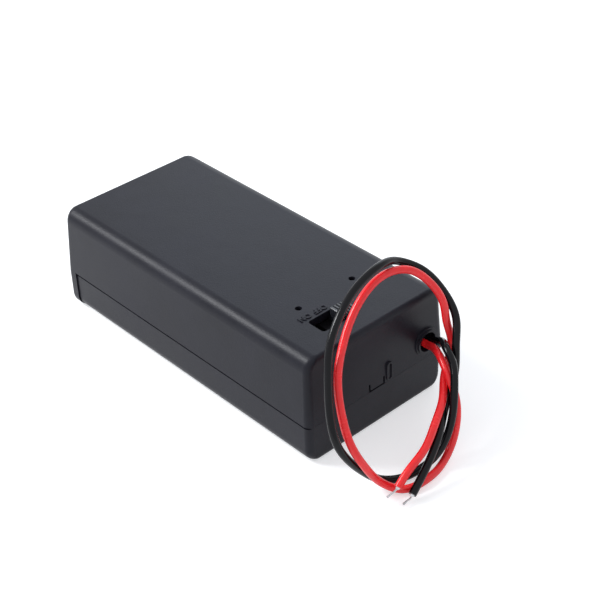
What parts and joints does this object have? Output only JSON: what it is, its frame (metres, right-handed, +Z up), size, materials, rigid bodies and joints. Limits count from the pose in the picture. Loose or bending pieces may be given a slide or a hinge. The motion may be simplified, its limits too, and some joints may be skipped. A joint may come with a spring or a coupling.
{
  "type": "nine volt battery holder",
  "caption": "Enclosed holder for a nine volt block battery, with a clip-on cover, a slide switch and two stripped leads.",
  "frame": {"origin": "middle of the underside of the closed box, on the plane it stands on", "axes": "+X towards the end where the leads come out, +Y towards the side nearer to the lead hole, +Z up through the face with the switch"},
  "size_m": [0.0872, 0.036, 0.0317],
  "materials": {
    "black_plastic": "satin moulded black",
    "board": "brown laminate",
    "nickel": "nickel plated",
    "brass": "bright",
    "tinned": "tinned",
    "red_insulation": "red soft plastic",
    "black_insulation": "black soft plastic"
  },
  "bodies": {
    "case": {"case_shell": "black_plastic", "switch_base": "board", "switch_terminal_on": "brass", "switch_terminal_common": "brass", "switch_terminal_spare": "brass", "contact_board": "board", "snap_socket": "nickel", "snap_stud": "nickel", "socket_rivet": "nickel", "stud_rivet": "nickel", "socket_lug": "nickel", "stud_lug": "nickel", "black_joint": "tinned", "jumper_joint_lug": "tinned", "red_joint": "tinned", "jumper_joint_blade": "tinned", "jumper_lead": "red_insulation", "red_lead": "red_insulation", "black_lead": "black_insulation", "red_tip": "tinned", "black_tip": "tinned"},
    "cover": {"battery_cover": "black_plastic"},
    "switch": {"switch_slider": "black_plastic", "slider_contact": "brass"}
  },
  "joints": [
    {"name": "cover_hinge", "type": "hinge", "parent": "case", "child": "cover", "pos_m": [-0.03175, 0, 0], "axis": [0, 1, 0], "range_deg": [0, 60]},
    {"name": "switch_slide", "type": "slide", "parent": "case", "child": "switch", "axis": [0, -1, 0], "range_m": [0, 0.0045]}
  ]
}
